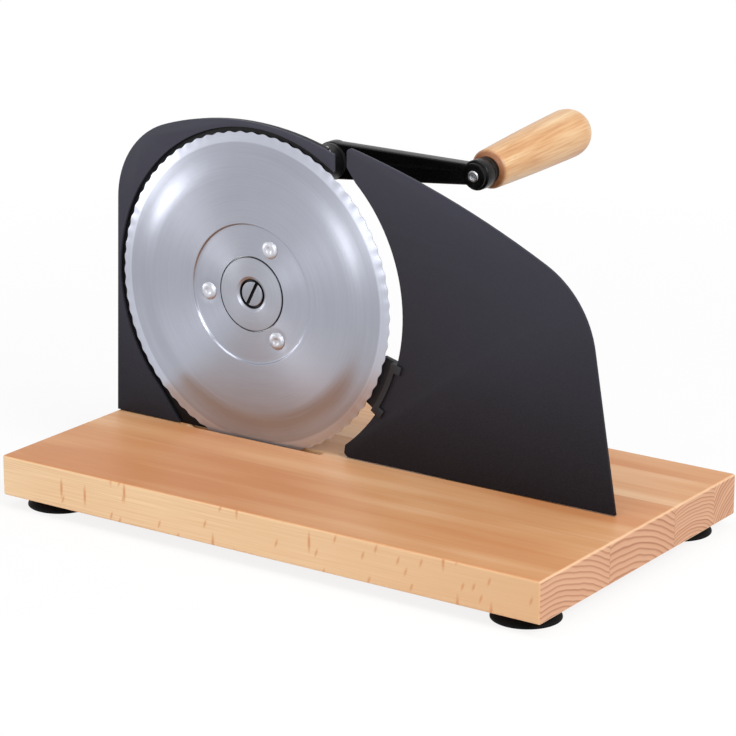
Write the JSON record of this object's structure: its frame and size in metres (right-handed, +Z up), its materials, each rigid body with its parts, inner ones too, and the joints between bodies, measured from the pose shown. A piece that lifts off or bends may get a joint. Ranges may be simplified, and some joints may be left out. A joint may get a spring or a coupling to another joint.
{
  "type": "bread slicer",
  "caption": "Hand cranked bread slicer: serrated round blade behind a black plate on a beech board, with an adjustable slice guide, geared crank and rubber suction feet",
  "frame": {"origin": "Middle of the part's footprint, on the surface that the feet stand on. The footprint is the board's with the handle's overhang at the rear", "axes": "+X along the board to the right as the picture shows it, +Y from the board's front edge to its rear, along the blade's axis, +Z up"},
  "size_m": [0.36, 0.2692, 0.219],
  "materials": {
    "beech_board": "oiled steamed beech, three edge-glued staves",
    "suction_rubber": "black moulded rubber, dull",
    "zinc_screw": "zinc-plated steel",
    "black_sheet": "black powder coat, fine satin, on steel sheet",
    "black_plastic": "black moulded plastic, satin",
    "gear_nylon": "natural white nylon",
    "blade_steel": "fine turned stainless steel, ground bevel",
    "turned_steel": "turned steel",
    "bronze_bush": "sintered bronze, dull",
    "black_arm": "black powder coat on steel bar",
    "beech_grip": "turned beech, clear lacquer"
  },
  "bodies": {
    "base": {"base_board": "beech_board", "foot_front_left": "suction_rubber", "foot_front_right": "suction_rubber", "foot_rear_left": "suction_rubber", "foot_rear_right": "suction_rubber", "foot_screw_front_left": "zinc_screw", "foot_screw_front_right": "zinc_screw", "foot_screw_rear_left": "zinc_screw", "foot_screw_rear_right": "zinc_screw", "blade_plate": "black_sheet", "plate_nut_1": "zinc_screw", "plate_nut_2": "zinc_screw", "plate_nut_3": "zinc_screw", "gear_housing": "black_plastic", "housing_screw_1": "zinc_screw", "housing_screw_2": "zinc_screw", "housing_screw_3": "zinc_screw", "gear_cover": "black_plastic", "cover_screw_1": "zinc_screw", "cover_screw_2": "zinc_screw", "cover_screw_3": "zinc_screw", "blade_shaft_bush": "bronze_bush", "crank_shaft_bush": "bronze_bush", "guide_block": "black_plastic", "rod_bush_left": "bronze_bush", "rod_bush_right": "bronze_bush", "block_screw_1": "zinc_screw", "block_screw_2": "zinc_screw"},
    "blade_unit": {"blade": "blade_steel", "blade_rivet_1": "turned_steel", "blade_rivet_2": "turned_steel", "blade_rivet_3": "turned_steel", "drive_flange": "turned_steel", "hub_disc": "turned_steel", "blade_screw": "turned_steel", "blade_shaft": "turned_steel", "blade_shaft_clip": "zinc_screw", "blade_gear": "gear_nylon"},
    "crank": {"crank_arm": "black_arm", "crank_shaft": "turned_steel", "crank_pinion": "turned_steel", "crank_spacer": "turned_steel", "crank_washer": "zinc_screw", "crank_nut": "zinc_screw", "handle_collar": "black_plastic", "handle_spindle": "turned_steel", "handle_screw": "zinc_screw"},
    "handle": {"handle_grip": "beech_grip"},
    "guide": {"guide_plate": "black_sheet", "guide_nut_1": "zinc_screw", "guide_nut_2": "zinc_screw", "edge_guard": "black_plastic", "guide_carriage": "black_plastic", "guide_rod_left": "turned_steel", "guide_rod_right": "turned_steel"},
    "adjuster": {"adjuster_spindle": "turned_steel", "adjuster_knob": "black_plastic", "knob_screw": "zinc_screw"}
  },
  "joints": [
    {"name": "crank_turn", "type": "hinge", "parent": "base", "child": "crank", "pos_m": [-0.06188, -0.02965, 0.18894], "axis": [0, 1, 0], "continuous": true},
    {"name": "blade_spin", "type": "hinge", "parent": "base", "child": "blade_unit", "pos_m": [-0.07899, -0.02965, 0.119], "axis": [0, 1, 0], "continuous": true},
    {"name": "handle_spin", "type": "hinge", "parent": "crank", "child": "handle", "pos_m": [0.03651, 0.02435, 0.19347], "axis": [0, 0.998, 0.0628], "continuous": true},
    {"name": "guide_slide", "type": "slide", "parent": "base", "child": "guide", "axis": [0, 1, 0], "range_m": [-0.0025, 0.0175]},
    {"name": "knob_turn", "type": "hinge", "parent": "base", "child": "adjuster", "pos_m": [0.06201, 0.03235, 0.0564], "axis": [0, 1, 0], "range_deg": [-630.1, 90.1]}
  ],
  "couplings": [
    {"joint": "blade_spin", "follows": "crank_turn", "ratio": -0.24138},
    {"joint": "knob_turn", "follows": "guide_slide", "rad_per_m": -628.32}
  ]
}
